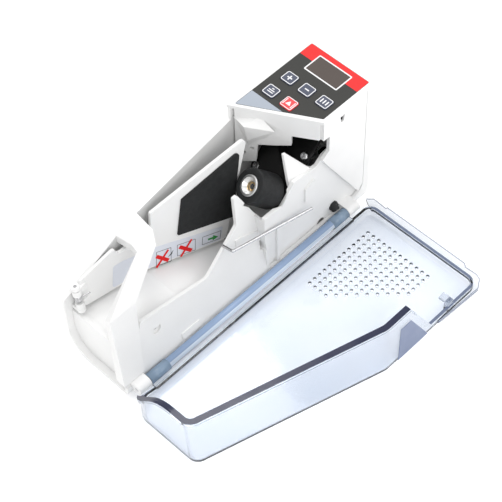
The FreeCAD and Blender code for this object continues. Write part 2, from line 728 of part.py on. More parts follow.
def bumper_stud():
    """Rubber stud low on the right of the front wall, which the closed cover rests against."""
    root = V(194.5, FRONT_Y + WALL, 15.2)
    lean = unit(V(0, -3.6, -3.2))
    head = Part.makeCylinder(3.6, 2.6, root.add(lean * -0.6), lean)
    neck = Part.makeCylinder(3.0, 6.4, root.add(lean * -2), lean)
    tip = [e for e in neck.Edges if e.Length < 6 * math.pi + 1e-3 and e.CenterOfMass.y < root.y - 2]
    stud = fused(head, neck.makeFillet(0.8, tip))
    return stud.cut(box(180, 210, FRONT_Y + WALL, 20, 0, 60))


def wire_point(along, outward):
    """Point on the guide wire's bent end: along its run, and outwards from the front wall."""
    run = WIRE_END.sub(WIRE_START)
    normal = unit(V(0, -1, FRONT_LEAN))
    return WIRE_START.add(run * along).add(normal * outward)


def guide_wire():
    """Steel wire across the front, bent into its socket at the left end."""
    run = rod(WIRE_START, WIRE_END, WIRE_RADIUS)
    ball = Part.makeSphere(WIRE_RADIUS, WIRE_START)
    tail = rod(WIRE_START, wire_point(0, -WIRE_TAIL), WIRE_RADIUS)
    tip = Part.makeSphere(WIRE_RADIUS, WIRE_END)
    return fused(run, ball, tail, tip)


# Pressing plate

def pivot_point(along):
    start, end = PLATE_PIVOT
    return start.add(end.sub(start) * along)


def pressing_plate():
    outline = [
        (13.5, 40, 1.5), (60, 39.4, 3), (119.6, 25.6, 2), (147.3, 97.8, 3), (143, 98, 2), (71, 83, 1),
        (69, 71.5, 3), (43, 66, 3), (42, 72, 2), (13.5, 62, 2),
    ]
    corners = [(on_plate(p[0], p[1]), p[2]) for p in outline]
    plate = prism(corners, PLATE_NORMAL * PLATE_THICK)
    arms = []
    for low, high in ((0.12, 0.34), (0.66, 0.88)):
        eye = rod(pivot_point(low), pivot_point(high), 3.0)
        top = pivot_point(low)
        bottom = pivot_point(high)
        root = V(0, -1.4, 0)
        reach = V(8, -0.4, 0)
        outline = [top.add(root), top.add(reach), bottom.add(reach), bottom.add(root)]
        arm = prism(outline, V(0, 2.4, 0))
        arms.append(fused(eye, arm))
    body = fused(plate, *arms)
    return body.cut(rod(pivot_point(-0.1), pivot_point(1.1), PIVOT_RADIUS + HINGE_CLEARANCE))


def plate_pad():
    outline = [(93.6, 80.4, 1), (85.7, 53.2, 1), (127.5, 41.2, 1), (140.6, 92.6, 3)]
    corners = [(on_plate(p[0], p[1], -PAD_THICK), p[2]) for p in outline]
    return prism(corners, PLATE_NORMAL * PAD_THICK)


def usage_label():
    outline = [
        (45.2, 58.4, 2), (38.0, 58.4, 2), (34.0, 41.2, 2), (59, 40.6, 3), (115.4, 27.4, 1),
        (119.0, 37.6, 1), (68, 54.2, 3),
    ]
    corners = [(on_plate(p[0], p[1], -0.15), p[2]) for p in outline]
    return prism(corners, PLATE_NORMAL * 0.15)


def plate_pivot_pin():
    return rod(pivot_point(-0.03), pivot_point(1.03), PIVOT_RADIUS)


def pivot_lugs():
    """Lugs on the chassis that hold the ends of the pressing plate's pivot pin."""
    lugs = []
    for low, high in ((-0.03, 0.10), (0.90, 1.03)):
        eye = rod(pivot_point(low), pivot_point(high), 2.8)
        start = pivot_point(low)
        end = pivot_point(high)
        web = prism([
            start.add(V(-2.6, 0, 0)), start.add(V(2.6, 0, 0)), end.add(V(2.6, 0, 0)), end.add(V(-2.6, 0, 0)),
        ], V(0, CASE_DEPTH - WALL - GAP - start.y, 0))
        lugs.append(fused(eye, web).cut(rod(pivot_point(-0.1), pivot_point(1.1), PIVOT_RADIUS)))
    return Part.makeCompound([lug.common(box(0, 30, 0, CASE_DEPTH - WALL - GAP, 0, 90)) for lug in lugs])


def plate_spring():
    """Torsion spring on the pivot pin, as close turns and one leg over the edge of the plate."""
    turns = []
    wire = 0.5
    mean = PIVOT_RADIUS + 0.3 + wire
    start = pivot_point(0.40)
    axis = unit(PLATE_PIVOT[1].sub(PLATE_PIVOT[0]))
    for turn in range(4):
        turns.append(Part.makeTorus(mean, wire, start.add(axis * (turn * 1.04)), axis))
    leg_root = start.add(V(0, -mean, 0))
    leg = rod(leg_root, leg_root.add(V(7.5, -1.4, 0)), wire)
    return Part.makeCompound(turns[1:] + [fused(turns[0], leg)])


# Feed roller and drive

def feed_tyre():
    outer = Part.makeCylinder(ROLLER_RADIUS, ROLLER_LENGTH, in_drive(0), AXIS)
    rims = [e for e in outer.Edges if abs(e.Length - 2 * math.pi * ROLLER_RADIUS) < 1e-3]
    outer = outer.makeFillet(1.2, rims)
    return outer.cut(Part.makeCylinder(HUB_RADIUS, ROLLER_LENGTH + 2, in_drive(-1), AXIS))


def roller_hub():
    """Metal hub: a flanged sleeve with a flared, deep cup in its outer end."""
    lip = 1.0
    sleeve = Part.makeCylinder(HUB_RADIUS, ROLLER_LENGTH, in_drive(0), AXIS)
    collar = Part.makeCylinder(HUB_RADIUS + HUB_COLLAR, lip, in_drive(-lip), AXIS)
    rim = [e for e in collar.Edges if abs(e.CenterOfMass.distanceToPoint(in_drive(-lip))) < 1e-3]
    collar = collar.makeFillet(0.5, rim)
    mouth = Part.makeCylinder(HUB_CUP_RADIUS, HUB_CUP_DEPTH + lip, in_drive(-lip), AXIS)
    flare = Part.makeCone(HUB_RADIUS, HUB_CUP_RADIUS, HUB_FLARE, in_drive(-lip), AXIS)
    bore = Part.makeCylinder(SPINDLE_RADIUS, ROLLER_LENGTH + 4, in_drive(-2), AXIS)
    return fused(sleeve, collar).cut([mouth, flare, bore])


def roller_nut():
    """Brass nut at the bottom of the hub's cup, on the end of the spindle."""
    corners = []
    for side in range(6):
        angle = math.radians(60 * side)
        corners.append((NUT_RADIUS * math.cos(angle), NUT_RADIUS * math.sin(angle)))
    nut = drive_prism(corners, HUB_CUP_DEPTH - NUT_THICK, NUT_THICK)
    return nut.cut(Part.makeCylinder(SPINDLE_RADIUS, HUB_CUP_DEPTH + 2, in_drive(-1), AXIS))


def roller_spindle():
    start = HUB_CUP_DEPTH - NUT_THICK - 0.6
    end = DRIVE_PLATE_START + DRIVE_PLATE_THICK + 4.1
    return Part.makeCylinder(SPINDLE_RADIUS, end - start, in_drive(start), AXIS)


def pulley(radius, bore_radius, u=0.0, n=0.0):
    """Flanged pulley for the flat belt."""
    start = BELT_START - 1.0
    drum = Part.makeCylinder(radius, BELT_WIDTH + 2.0, in_drive(start, u, n), AXIS)
    flange_a = Part.makeCylinder(radius + 1.6, 0.7, in_drive(start, u, n), AXIS)
    flange_b = Part.makeCylinder(radius + 1.6, 0.7, in_drive(start + BELT_WIDTH + 1.3, u, n), AXIS)
    bore = Part.makeCylinder(bore_radius, BELT_WIDTH + 6.0, in_drive(start - 2, u, n), AXIS)
    return fused(drum, flange_a, flange_b).cut(bore)


def drive_belt():
    inner = belt_outline(0.06, BELT_START - 0.5, BELT_WIDTH + 1)
    outer = belt_outline(0.06 + BELT_THICK, BELT_START, BELT_WIDTH)
    return outer.cut(inner)


def belt_cover():
    """Black cover over the belt, open towards the drive plate."""
    start = BELT_START - 1.9
    length = DRIVE_PLATE_START - start
    outer = belt_outline(4.2, start, length)
    inner = belt_outline(2.8, start + 0.6, length)
    spindle = Part.makeCylinder(SPINDLE_RADIUS + 0.6, 6, in_drive(start - 2), AXIS)
    keep = box(100, 240, FRONT_Y + 2 * WALL + 0.4, 60, 0, 120)
    return single(outer.cut([inner, spindle]).common(keep))


def drive_plate():
    """Black bracket plate that carries the spindle's bushes and the motor."""
    u, n = MOTOR_OFFSET
    corners = [(-9, -4.6, 3), (46, -4.6, 3), (46, 20, 4), (30, 35, 6), (-1, 35, 6), (-9, 10, 6)]
    plate = drive_prism(corners, DRIVE_PLATE_START, DRIVE_PLATE_THICK)
    boss = Part.makeCylinder(4.6, DRIVE_PLATE_THICK + 2.5, in_drive(DRIVE_PLATE_START), AXIS)
    cuts = [Part.makeCylinder(3.2, 20, in_drive(DRIVE_PLATE_START - 5), AXIS)]
    cuts.append(Part.makeCylinder(3.1, 20, in_drive(DRIVE_PLATE_START - 5, u, n), AXIS))
    for at in DRIVE_SCREWS:
        cuts.append(Part.makeCylinder(1.2, 20, in_drive(DRIVE_PLATE_START - 5, *at), AXIS))
    keep = box(100, SEAM_X, FRONT_Y + 2 * WALL + 0.4, CASE_DEPTH - WALL - 0.6, 4, 99)
    return fused(plate, boss).cut(cuts).common(keep)


def drive_screws():
    head = in_drive(DRIVE_PLATE_START)
    screws = []
    for u, n in DRIVE_SCREWS:
        at = head.add(DRIVE_U * u).add(DRIVE_N * n)
        screws.append(pan_screw(at, AXIS, 2.9, 1.2, 6.0))
    return Part.makeCompound(screws)


def spindle_bushes():
    start = DRIVE_PLATE_START
    ring = Part.makeCylinder(3.2, DRIVE_PLATE_THICK + 2.5, in_drive(start), AXIS)
    bore = Part.makeCylinder(SPINDLE_RADIUS + HINGE_CLEARANCE, 20, in_drive(start - 5), AXIS)
    return ring.cut(bore)


def drive_motor():
    u, n = MOTOR_OFFSET
    start = DRIVE_PLATE_START + DRIVE_PLATE_THICK
    can = Part.makeCylinder(MOTOR_RADIUS, MOTOR_LENGTH, in_drive(start, u, n), AXIS)
    snout = Part.makeCylinder(3.0, 2.0, in_drive(start - 2.0, u, n), AXIS)
    bore = Part.makeCylinder(1.0 + HINGE_CLEARANCE, MOTOR_LENGTH + 1, in_drive(start - 5, u, n), AXIS)
    return fused(can, snout).cut(bore)


def motor_cap():
    u, n = MOTOR_OFFSET
    start = DRIVE_PLATE_START + DRIVE_PLATE_THICK + MOTOR_LENGTH
    cap = Part.makeCylinder(MOTOR_RADIUS - 1.0, 2.0, in_drive(start, u, n), AXIS)
    return fused(cap, Part.makeCylinder(3.0, 3.5, in_drive(start, u, n), AXIS))


def motor_shaft():
    u, n = MOTOR_OFFSET
    end = DRIVE_PLATE_START + DRIVE_PLATE_THICK + MOTOR_LENGTH - 6.0
    return Part.makeCylinder(1.0, end - BELT_START + 1.0, in_drive(BELT_START - 1.0, u, n), AXIS)


# Power and sensing

def cell_places():
    places = []
    for x in CELL_X:
        for y in CELL_Y:
            places.append((x, y))
    return places


def battery_tray():
    """Open tray, walled round the cells, above the battery door."""
    outer = box(17.2, 125.0, 10.0, 43.0, WALL + GAP, 19.2)
    hollow = box(18.6, 123.6, 11.4, 41.8, 0, 18.2)
    curve = prism_yz(case_profile(WALL + GAP), 0, 130)
    return single(outer.cut([hollow, bridge_bar(0.3)]).common(curve))


def cells():
    bodies = []
    for x, y in cell_places():
        can = rod(V(x, y, CELL_Z), V(x + CELL_LENGTH - 1.2, y, CELL_Z), CELL_RADIUS - 0.1)
        button = rod(V(x + CELL_LENGTH - 1.5, y, CELL_Z), V(x + CELL_LENGTH, y, CELL_Z), 2.7)
        bodies.append(fused(can, button))
    return Part.makeCompound(bodies)


def battery_contacts():
    plates = []
    for y in CELL_Y:
        plates.append(box(19.0, 19.6, y - 4, y + 4, 6, 15))
        plates.append(box(122.5, 123.1, y - 4, y + 4, 6, 15))
    return Part.makeCompound(plates)


def battery_door():
    """Door in the underside that swings out on its left edge, with a finger notch at the other end."""
    x0, x1, y0, y1 = DOOR
    door = box(x0, x1, y0, y1, 0, 1.9)
    notch = prism_xy([(x1 - 4, 20, 3), (x1 + 1, 20), (x1 + 1, 32), (x1 - 4, 32, 3)], -1, 0.9)
    return single(door.common(prism_yz(case_profile(0), x0, x1)).cut(notch))


def case_screws():
    up = V(0, 0, 1)
    return Part.makeCompound([pan_screw(V(x, y, SCREW_SINK), up, 2.4, 1.25, 6.0) for x, y in CASE_SCREWS])


def dc_jack():
    body = box(CASE_RIGHT - 15, CASE_RIGHT - WALL, JACK_Y - 4.6, JACK_Y + 4.6, WALL + 2, JACK_Z + 5)
    nose = rod(jack_point(-3), jack_point(-0.6), JACK_RADIUS)
    bore = rod(jack_point(-12), jack_point(1), 2.75)
    contact = rod(jack_point(-13), jack_point(-2), 1.05)
    return fused(fused(body, nose).cut(bore), contact)


def note_sensors():
    """Light source and receiver, facing each other across the note path."""
    front = box(160, 166, FRONT_Y + 2 * WALL, FRONT_Y + 2 * WALL + 4, 14, 22)
    back = box(160, 166, CASE_DEPTH - WALL - 4, CASE_DEPTH - WALL - GAP, 24, 32)
    return Part.makeCompound([front, back])


def wanted():
    pieces = {
        "rear_shell": rear_shell(),
        "front_chassis": front_chassis(),
        "bridge_bar": bridge_bar(),
        "control_housing": housing_with_posts(),
        "keypad_overlay": keypad_overlay(),
        "display_window": display_window(),
        "led_display": led_display(),
        "main_board": main_board(),
        "board_screws": board_screws(),
        "tact_switches": tact_switches(),
        "cover": cover(),
        "hinge_pins": hinge_pins(),
        "bumper_stud": bumper_stud(),
        "guide_wire": guide_wire(),
        "pressing_plate": pressing_plate(),
        "plate_pad": plate_pad(),
        "usage_label": usage_label(),
        "plate_pivot_pin": plate_pivot_pin(),
        "pivot_lugs": pivot_lugs(),
        "plate_spring": plate_spring(),
        "feed_roller_tyre": feed_tyre(),
        "feed_roller_hub": roller_hub(),
        "feed_roller_nut": roller_nut(),
        "roller_spindle": roller_spindle(),
        "roller_pulley": pulley(ROLLER_PULLEY_RADIUS, SPINDLE_RADIUS),
        "motor_pulley": pulley(MOTOR_PULLEY_RADIUS, 1.0, *MOTOR_OFFSET),
        "drive_belt": drive_belt(),
        "belt_cover": belt_cover(),
        "drive_plate": drive_plate(),
        "drive_screws": drive_screws(),
        "spindle_bush": spindle_bushes(),
        "drive_motor": drive_motor(),
        "motor_cap": motor_cap(),
        "motor_shaft": motor_shaft(),
        "battery_tray": battery_tray(),
        "battery_cells": cells(),
        "battery_contacts": battery_contacts(),
        "battery_door": battery_door(),
        "case_screws": case_screws(),
        "dc_jack": dc_jack(),
        "note_sensors": note_sensors(),
    }
    for name in KEYS:
        pieces[name] = key(name)
    return pieces


os.makedirs("parts", exist_ok=True)
for node, shape in wanted().items():
    placed = shape.copy()
    placed.translate(ORIGIN * -1)
    if not placed.isValid():
        print("not valid:", node)
    print(node, len(placed.Solids), round(placed.Volume, 1))
    placed.exportStep("parts/" + node + ".step")
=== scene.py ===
import json
import math

import bmesh
import bpy
from mathutils import Matrix, Vector


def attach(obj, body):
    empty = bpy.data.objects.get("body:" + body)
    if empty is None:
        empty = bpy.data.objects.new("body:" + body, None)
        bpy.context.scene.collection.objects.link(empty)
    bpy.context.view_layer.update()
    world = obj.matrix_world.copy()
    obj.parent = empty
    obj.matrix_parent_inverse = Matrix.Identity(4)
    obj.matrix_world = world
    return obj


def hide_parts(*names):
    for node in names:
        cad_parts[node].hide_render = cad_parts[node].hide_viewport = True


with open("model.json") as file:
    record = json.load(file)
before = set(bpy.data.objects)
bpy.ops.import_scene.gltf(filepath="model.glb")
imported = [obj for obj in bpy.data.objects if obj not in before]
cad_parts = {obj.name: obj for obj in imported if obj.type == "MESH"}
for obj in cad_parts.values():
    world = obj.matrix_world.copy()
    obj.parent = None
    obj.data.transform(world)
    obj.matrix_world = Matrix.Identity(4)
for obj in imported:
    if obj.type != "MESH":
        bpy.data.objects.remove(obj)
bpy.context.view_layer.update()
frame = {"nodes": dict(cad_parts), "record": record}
nodes = frame["nodes"]

MM = 0.001
CASE_CORNER = Vector((113.0, 30.0, 0.0))

# Sizes below are millimetres from the case's lower front left corner, as in the design
CASE_TOP = 112.0
KEY_TOP = 112.9
KEY_SIZE = (9.0, 9.6)
KEYS = {
    "key_plus": (193.5, 46.0),
    "key_minus": (193.5, 31.0),
    "key_batch": (193.5, 16.0),
    "key_add": (177.5, 47.0),
    "key_start": (177.5, 31.5),
}
DISPLAY = (207.0, 221.0, 18.5, 45.0)

# Thickness of printed ink, and of the label it stands on
PRINT = 0.03
LABEL_THICK = 0.15

# Steps round each rounded corner of a printed outline
ARC_STEPS = 4

# Pressing plate's front face: y at (58, 29), and its slopes along x and z
PLATE_Y = 43.8
PLATE_DX = -0.155
PLATE_DZ = 0.143

# Feed roller
ROLLER_FACE = Vector((134.0, 25.0, 75.0))
ROLLER_AXIS = Vector((0.677, -0.229, -0.700)).normalized()
ROLLER_RADIUS = 12.0
ROLLER_BORE = 5.6
ROLLER_LENGTH = 21.0
TYRE_RIM = 1.2
TYRE_RIBS = 90
TYRE_RIB_DEPTH = 0.16

# Cover's hinge and rims, as drawn lying open
HINGE_Z = 8.0
BARREL_RADIUS = 4.0
KNUCKLES = ((15.3, 32.0), (185.0, 199.7))
TRAY_TOP = 8.0
TRAY_RIGHT = 215.0
TRAY_FRONT = -99.8
FLANGE = (4.0, 6.0)
FLANGE_RIGHT = 221.4
FLANGE_FRONT = -102.4
# Bounds and lift of the skins of painted shade and painted highlight on the cover's rim, lip and knuckles
BAND_LOW = 9.0
BAND_END_X = 154.5
LIP_FOOT = 9.0
LIP_CROWN = 11.2
SKIN_LIFT = 0.04

# Latch pocket's painted shade, a dark sheet behind its opening: its near and far face. Frosted panel: how
# far its two faces stand out
LATCH_SHADE_SHEET = (6.0, 6.8)
PANEL_PROUD = (0.02, 0.35)

# Cover's outer wall: y of its foot, and its lean per millimetre of height
COVER_OUTER_Y = -102.0
COVER_LEAN = 3.0 / 46.0

# Camera: three-quarter view from the front left and above, in degrees and metres
CAMERA_AZIMUTH = -44.44
CAMERA_ELEVATION = 53.23
CAMERA_ROLL = -1.70
CAMERA_DISTANCE = 1.079
CAMERA_TARGET = Vector((-0.0038, -0.0300, 0.0527))
LENS = 122.2
SENSOR = 36.0

# Colour of the light that the clear cover lets through to what lies below it
CLEAR_SHADOW = (0.80, 0.84, 0.89)

# Soft white studio: each lamp's place, target, width and height in metres, and power in watts
WORLD_STRENGTH = 0.80
LAMPS = {
    "key_light": ((-0.5, -1.3, 1.2), (0, 0, 0.05), (0.9, 0.9), 7),
    "fill_light": ((1.3, -1.0, 1.1), (0, 0, 0), (1.5, 1.0), 8),
    "top_light": ((0.1, 0.5, 1.8), (0, 0, 0), (1.2, 0.9), 13),
}
FLOOR_REACH = 6
FLOOR_DROP = 0.0002
FLOOR_GLOW = 0.22


# Camera, floor and light

def make_camera():
    azimuth = math.radians(CAMERA_AZIMUTH)
    elevation = math.radians(CAMERA_ELEVATION)
    roll = math.radians(CAMERA_ROLL)
    back = Vector((math.sin(azimuth) * math.cos(elevation), -math.cos(azimuth) * math.cos(elevation),
                   math.sin(elevation)))
    level = Vector((math.cos(azimuth), math.sin(azimuth), 0))
    upright = back.cross(level)
    right = level * math.cos(roll) + upright * math.sin(roll)
    up = back.cross(right)
    data = bpy.data.cameras.new("camera")
    data.lens = LENS
    data.sensor_width = SENSOR
    data.clip_end = 20
    camera = bpy.data.objects.new("camera", data)
    bpy.context.scene.collection.objects.link(camera)
    turn = Matrix((right, up, back)).transposed().to_4x4()
    camera.matrix_world = Matrix.Translation(CAMERA_TARGET + back * CAMERA_DISTANCE) @ turn
    bpy.context.scene.camera = camera


def area_light(name, at, target, size, power):
    data = bpy.data.lights.new(name, "AREA")
    data.shape = "RECTANGLE"
    data.size, data.size_y = size
    data.energy = power
    lamp = bpy.data.objects.new(name, data)
    bpy.context.scene.collection.objects.link(lamp)
    aim = (Vector(target) - Vector(at)).to_track_quat("-Z", "Y")
    lamp.matrix_world = Matrix.Translation(at) @ aim.to_matrix().to_4x4()


def make_studio():
    world = bpy.data.worlds.new("studio")
    bpy.context.scene.world = world
    world.use_nodes = True
    background = world.node_tree.nodes["Background"]
    background.inputs["Color"].default_value = (1, 1, 1, 1)
    background.inputs["Strength"].default_value = WORLD_STRENGTH
    for name, lamp in LAMPS.items():
        area_light(name, *lamp)
    bpy.context.scene.view_settings.view_transform = "Standard"


def make_floor():
    mesh = bpy.data.meshes.new("floor")
    work = bmesh.new()
    bmesh.ops.create_grid(work, x_segments=8, y_segments=8, size=FLOOR_REACH)
    work.to_mesh(mesh)
    work.free()
    floor = bpy.data.objects.new("floor", mesh)
    floor.location.z = -FLOOR_DROP
    bpy.context.scene.collection.objects.link(floor)
    paper = plastic("studio_floor", (0.93, 0.93, 0.93), (0.85, 0.95), grain=0.004, bump=0.0)
    shader = paper.node_tree.nodes["Principled BSDF"]
    shader.inputs["Emission Color"].default_value = (1, 1, 1, 1)
    shader.inputs["Emission Strength"].default_value = FLOOR_GLOW
    floor.data.materials.append(paper)


# Materials

class Graph:
    """A new material's nodes, with short ways to add and link them."""

    def __init__(self, name):
        self.material = bpy.data.materials.new(name)
        self.material.use_nodes = True
        self.tree = self.material.node_tree
        self.shader = self.tree.nodes["Principled BSDF"]
        self.output = self.tree.nodes["Material Output"]
        self.place = self.add("ShaderNodeTexCoord").outputs["Object"]

    def add(self, kind, **values):
        node = self.tree.nodes.new(kind)
        for key, value in values.items():
            setattr(node, key, value)
        return node

    def link(self, source, target):
        self.tree.links.new(source, target)

    def set(self, **values):
        for key, value in values.items():
            self.shader.inputs[key.replace("_", " ")].default_value = value

    def noise(self, size, detail=3.0, stretch=None):
        node = self.add("ShaderNodeTexNoise")
        node.inputs["Scale"].default_value = 1.0 / size
        node.inputs["Detail"].default_value = detail
        place = self.place
        if stretch:
            mapping = self.add("ShaderNodeMapping")
            mapping.inputs["Scale"].default_value = stretch
            self.link(place, mapping.inputs["Vector"])
            place = mapping.outputs["Vector"]
        self.link(place, node.inputs["Vector"])
        return node.outputs["Fac"]

    def spread(self, value, low, high, start=0.3, end=0.7):
        node = self.add("ShaderNodeMapRange")
        self.link(value, node.inputs["Value"])
        node.inputs["From Min"].default_value = start
        node.inputs["From Max"].default_value = end
        node.inputs["To Min"].default_value = low
        node.inputs["To Max"].default_value = high
        return node.outputs["Result"]

    def blend(self, value, first, second, start=0.3, end=0.7):
        node = self.add("ShaderNodeValToRGB")
        self.link(value, node.inputs["Fac"])
        node.color_ramp.elements[0].position = start
        node.color_ramp.elements[0].color = (*first, 1)
        node.color_ramp.elements[1].position = end
        node.color_ramp.elements[1].color = (*second, 1)
        self.link(node.outputs["Color"], self.shader.inputs["Base Color"])

    def bump(self, value, depth):
        node = self.add("ShaderNodeBump")
        node.inputs["Strength"].default_value = 1.0
        node.inputs["Distance"].default_value = depth
        self.link(value, node.inputs["Height"])
        self.link(node.outputs["Normal"], self.shader.inputs["Normal"])


def plastic(name, colour, roughness, grain=0.0005, bump=0.00002, coat=0.0, gloss=0.5):
    """Moulded plastic or paint: fine grain, slightly uneven gloss and a faint drift of colour."""
    drift = 0.04
    graph = Graph(name)
    darker = tuple(c * (1 - drift) for c in colour)
    graph.blend(graph.noise(0.03), darker, colour)
    graph.link(graph.spread(graph.noise(0.012, 5), *roughness), graph.shader.inputs["Roughness"])
    if bump:
        graph.bump(graph.noise(grain, 2), bump)
    graph.set(Coat_Weight=coat, Specular_IOR_Level=gloss)
    return graph.material


def rubber(name, colour, roughness=(0.55, 0.75)):
    graph = Graph(name)
    graph.blend(graph.noise(0.004, 5), tuple(c * 0.7 for c in colour), colour)
    graph.link(graph.spread(graph.noise(0.002, 4), *roughness), graph.shader.inputs["Roughness"])
    graph.bump(graph.noise(0.0004, 4), 0.00004)
    graph.set(Specular_IOR_Level=0.25)
    return graph.material


def metal(name, colour, roughness, stretch=(1, 1, 1), bump=0.000008):
    """Turned or drawn metal with fine marks along one direction."""
    graph = Graph(name)
    graph.blend(graph.noise(0.003, 4), tuple(c * 0.85 for c in colour), colour)
    graph.link(graph.spread(graph.noise(0.0006, 4, stretch), *roughness), graph.shader.inputs["Roughness"])
    graph.bump(graph.noise(0.0003, 3, stretch), bump)
    graph.set(Metallic=1.0)
    return graph.material


def ink(name, colour, roughness=(0.30, 0.38)):
    return plastic(name, colour, roughness, grain=0.0003, bump=0.000004, gloss=0.25)


def clear_plastic(name, tint_and_painted_light, density, roughness, shade):
    """Clear moulding: coloured by its depth, slightly wavy, and it lets the lamps through."""
    graph = Graph(name)
    graph.blend(graph.noise(0.05), shade, (1, 1, 1))
    graph.link(graph.spread(graph.noise(0.01, 4), *roughness), graph.shader.inputs["Roughness"])
    graph.bump(graph.noise(0.012, 2), 0.00005)
    graph.set(Transmission_Weight=1.0, IOR=1.47)
    depth = graph.add("ShaderNodeVolumeAbsorption")
    depth.inputs["Color"].default_value = (*tint_and_painted_light, 1)
    depth.inputs["Density"].default_value = density
    graph.link(depth.outputs["Volume"], graph.output.inputs["Volume"])
    rays = graph.add("ShaderNodeLightPath")
    through = graph.add("ShaderNodeBsdfTransparent")
    through.inputs["Color"].default_value = (*CLEAR_SHADOW, 1)
    mix = graph.add("ShaderNodeMixShader")
    graph.link(rays.outputs["Is Shadow Ray"], mix.inputs[0])
    graph.link(graph.shader.outputs[0], mix.inputs[1])
    graph.link(through.outputs[0], mix.inputs[2])
    graph.link(mix.outputs[0], graph.output.inputs["Surface"])
    return graph.material


def make_materials():
    return {
        "white_plastic": plastic("white_plastic", (0.83, 0.83, 0.825), (0.30, 0.44)),
        "clear_cover": clear_plastic("clear_cover", (0.46, 0.51, 0.60), 160, (0.02, 0.08),
                                     (0.95, 0.965, 0.98)),
        "black_rubber": rubber("black_rubber", (0.022, 0.023, 0.024)),
        "black_plastic": plastic("black_plastic", (0.006, 0.006, 0.006), (0.35, 0.5), gloss=0.2),
        "steel": metal("steel", (0.62, 0.62, 0.63), (0.16, 0.32)),
        "brass": metal("brass", (0.72, 0.50, 0.24), (0.22, 0.38)),
        "overlay": plastic("overlay", (0.042, 0.042, 0.039), (0.34, 0.42), grain=0.0002, bump=0.000006,
                           gloss=0.3),
        "key_dark": plastic("key_dark", (0.075, 0.085, 0.125), (0.26, 0.36), bump=0.000006),
        "key_red": plastic("key_red", (0.85, 0.07, 0.08), (0.26, 0.36), bump=0.000006),
        "smoked_window": plastic("smoked_window", (0.095, 0.078, 0.070), (0.16, 0.24), grain=0.0004,
                                 bump=0.000003, gloss=0.3),
        "label": plastic("label", (0.70, 0.73, 0.80), (0.3, 0.4), bump=0.000006),
        "board": plastic("board", (0.02, 0.14, 0.05), (0.3, 0.5), coat=0.3),
        "cell": plastic("cell", (0.03, 0.05, 0.16), (0.2, 0.3), coat=0.5),
        "belt": rubber("belt", (0.02, 0.02, 0.02)),
    }


def dress_nodes(materials):
    slots = {part["node"]: part["material_slot"] for part in frame["record"]["subparts"]}
    for name, node in nodes.items():
        node.data.materials.clear()
        node.data.materials.append(materials[slots[name]])


# Geometry helpers

def place(x, y, z):
    """Point given in design millimetres, as metres in the shared frame."""
    return (Vector((x, y, z)) - CASE_CORNER) * MM


def rounded(points, radius):
    """Plan outline with each corner rounded."""
    count = len(points)
    outline = []
    for i in range(count):
        corner = Vector(points[i])
        before = (Vector(points[i - 1]) - corner).normalized()
        after = (Vector(points[(i + 1) % count]) - corner).normalized()
        half = before.angle(after) / 2
        centre = corner + (before + after).normalized() * (radius / math.sin(half))
        first = corner + before * (radius / math.tan(half)) - centre
        last = corner + after * (radius / math.tan(half)) - centre
        for step in range(ARC_STEPS + 1):
            spoke = first.lerp(last, step / ARC_STEPS).normalized() * radius
            outline.append(tuple(centre + spoke))
    return outline


def rectangle(x0, x1, y0, y1):
    return [(x0, y0), (x1, y0), (x1, y1), (x0, y1)]


def finish_piece(name, work, material, body):
    """Turn the worked mesh into a named piece that moves with its body."""
    bmesh.ops.recalc_face_normals(work, faces=work.faces)
    mesh = bpy.data.meshes.new(name)
    work.to_mesh(mesh)
    work.free()
    mesh.materials.append(material)
    piece = bpy.data.objects.new(name, mesh)
    bpy.context.scene.collection.objects.link(piece)
    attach(piece, body)
    return piece


def add_slab(work, lower, upper):
    """Closed thin solid between two matching outlines of points."""
    low = [work.verts.new(point) for point in lower]
    high = [work.verts.new(point) for point in upper]
    work.faces.new(low[::-1])
    work.faces.new(high)
    count = len(low)
    for i in range(count):
        j = (i + 1) % count
        work.faces.new((low[i], low[j], high[j], high[i]))


def add_ring(work, outer, inner, lift):
    """Closed frame between an outer and an inner outline, both with the same number of points."""
    loops = []
    for outline, height in ((outer, 0), (inner, 0), (inner, 1), (outer, 1)):
        loops.append([work.verts.new(Vector(point) + lift * height) for point in outline])
    count = len(outer)
    for i in range(count):
        j = (i + 1) % count
        for k in range(4):
            here, there = loops[k], loops[(k + 1) % 4]
            work.faces.new((here[i], here[j], there[j], there[i]))


def at_height(outline, z):
    """Points of a plan outline at one height."""
    return [place(x, y, z) for x, y in outline]


def flat_print(work, outline, z):
    add_slab(work, at_height(outline, z), at_height(outline, z + PRINT))


def flat_frame(work, outer, inner, z, thick):
    add_ring(work, at_height(outer, z), at_height(inner, z), Vector((0, 0, thick * MM)))


def on_plate(x, z, out=0.0):
    y = PLATE_Y + PLATE_DX * (x - 58.0) + PLATE_DZ * (z - 29.0)
    normal = Vector((-PLATE_DX, 1.0, -PLATE_DZ)).normalized()
    return (Vector((x, y, z)) - normal * out - CASE_CORNER) * MM


# Keypad

def overlay_print(inks):
    x0, x1, y0, y1 = DISPLAY
    edge = 0.9
    work = bmesh.new()
    flat_print(work, [
        (214.5, 56.7), (225.7, 56.7), (225.7, 7.3), (214.5, 7.3), (214.5, y0 - edge),
        (x1 + edge, y0 - edge), (x1 + edge, y1 + edge), (214.5, y1 + edge),
    ], CASE_TOP)
    finish_piece("overlay_band", work, inks["red"], "case")
    work = bmesh.new()
    flat_print(work, [(154.6, 56.7), (169.9, 56.7), (169.9, 30.0)], CASE_TOP)
    finish_piece("overlay_corner", work, inks["silver"], "case")
    work = bmesh.new()
    outer = rounded(rectangle(x0 - edge, x1 + edge, y0 - edge, y1 + edge), 0.9)
    inner = rounded(rectangle(x0 + 0.05, x1 - 0.05, y0 + 0.05, y1 - 0.05), 0.4)
    flat_frame(work, outer, inner, CASE_TOP, 0.05)
    finish_piece("display_frame", work, inks["white"], "case")


